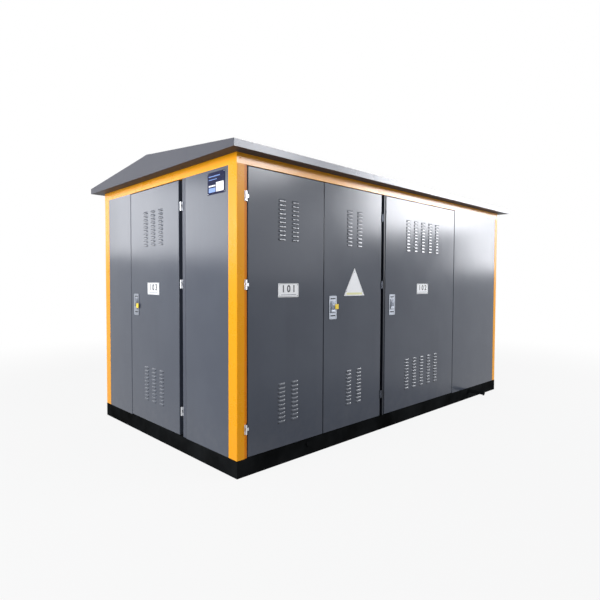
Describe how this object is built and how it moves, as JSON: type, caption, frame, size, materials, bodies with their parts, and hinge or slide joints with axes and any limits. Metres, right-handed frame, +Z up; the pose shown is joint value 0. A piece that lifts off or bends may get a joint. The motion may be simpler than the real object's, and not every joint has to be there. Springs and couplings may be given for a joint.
{
  "type": "compact substation",
  "caption": "Sheet-steel housing of a compact electrical substation with a low gabled roof, louvred hinged doors, bright corner posts and a dark channel base.",
  "frame": {"origin": "centre of the bounding box at ground level, on the underside of the middle cross beam", "axes": "+X along the housing towards the high-voltage end, -Y out of the long side with the low-voltage doors, +Z up"},
  "size_m": [4.77, 2.886, 2.688],
  "materials": {
    "door_grey": "semi-gloss powder coat, slightly dusty",
    "amber_paint": "semi-gloss powder coat",
    "base_black": "satin paint, dusty",
    "roof_grey": "satin powder coat",
    "soffit_grey": "satin powder coat",
    "frame_dark": "satin paint",
    "floor_steel": "matt primer",
    "hinge_zinc": "bright zinc plate",
    "lock_steel": "satin zinc-plated steel",
    "plate_white": "gloss enamel",
    "notice_navy": "gloss enamel"
  },
  "bodies": {
    "housing": {"base_side_channels": "base_black", "base_end_channels": "base_black", "base_cross_beams": "base_black", "floor_plate": "floor_steel", "lifting_pins": "base_black", "corner_posts": "amber_paint", "header_front_left": "amber_paint", "header_front_right": "amber_paint", "header_back": "amber_paint", "headers_end": "amber_paint", "mullions_side": "frame_dark", "mullions_end": "frame_dark", "recess_posts": "door_grey", "panel_front": "door_grey", "panel_left_corner": "door_grey", "panel_left_narrow": "door_grey", "leaves_back_lv": "door_grey", "leaf_back_transformer": "door_grey", "panel_back": "door_grey", "leaf_right_end": "door_grey", "panels_right": "door_grey", "roof_slope_front": "roof_grey", "roof_slope_back": "roof_grey", "gables": "roof_grey", "roof_underside": "soffit_grey", "ridge_cap": "roof_grey", "hinge_brackets": "hinge_zinc", "locks_unseen_sides": "lock_steel", "notice_plate": "notice_navy"},
    "door_lv_left": {"leaf_lv_left": "door_grey", "hinge_plates_lv_left": "hinge_zinc", "name_plate_lv": "plate_white"},
    "door_lv_right": {"leaf_lv_right": "door_grey", "hinge_plates_lv_right": "hinge_zinc", "lock_lv": "lock_steel", "triangle_plate": "plate_white"},
    "door_transformer": {"leaf_transformer": "door_grey", "pivot_pins_transformer": "hinge_zinc", "lock_transformer": "lock_steel", "name_plate_transformer": "plate_white"},
    "door_end": {"leaf_end": "door_grey", "hinge_plates_end": "hinge_zinc", "hinge_arms_end": "frame_dark", "lock_end": "lock_steel", "name_plate_end": "plate_white"}
  },
  "joints": [
    {"name": "lv_left_swing", "type": "hinge", "parent": "housing", "child": "door_lv_left", "pos_m": [-2.189, -1.241, 1.28], "axis": [0, 0, -1], "range_deg": [0, 110]},
    {"name": "lv_right_swing", "type": "hinge", "parent": "housing", "child": "door_lv_right", "pos_m": [-0.446, -1.241, 1.28], "axis": [0, 0, 1], "range_deg": [0, 110]},
    {"name": "transformer_swing", "type": "hinge", "parent": "housing", "child": "door_transformer", "pos_m": [1.035, -1.225, 1.28], "axis": [0, 0, 1], "range_deg": [0, 110]},
    {"name": "end_swing", "type": "hinge", "parent": "housing", "child": "door_end", "pos_m": [-2.281, -0.424, 1.28], "axis": [0, 0, 1], "range_deg": [0, 110]}
  ]
}
